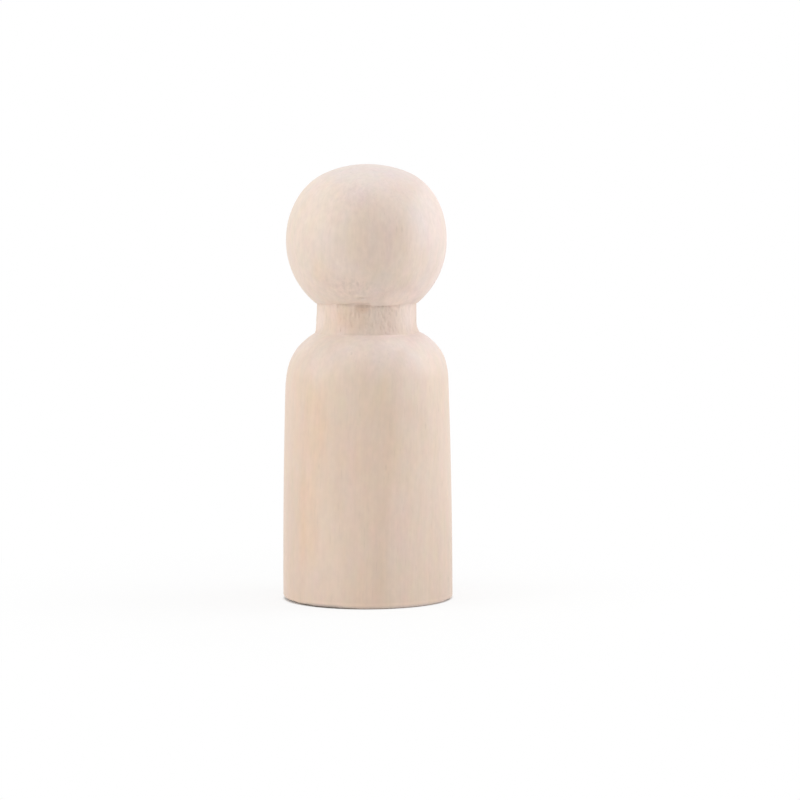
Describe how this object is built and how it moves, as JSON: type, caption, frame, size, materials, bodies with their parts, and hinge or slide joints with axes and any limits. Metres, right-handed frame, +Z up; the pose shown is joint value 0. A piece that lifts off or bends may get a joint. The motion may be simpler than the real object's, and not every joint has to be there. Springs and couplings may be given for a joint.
{
  "type": "peg doll",
  "caption": "Plain turned wooden peg doll with a ball head, short straight neck, rounded shoulders and a flat base to stand on.",
  "frame": {"origin": "centre of the flat base, on the lathe axis", "axes": "+Z up along the lathe axis to the crown; the doll is round, so -Y is taken as its front, the side that the picture shows"},
  "size_m": [0.0137, 0.0136, 0.035],
  "materials": {
    "bare_wood": "bare fine-grained pale hardwood, sanded matte, with no paint or varnish"
  },
  "bodies": {
    "root": {"turned_figure": "bare_wood"}
  },
  "joints": []
}
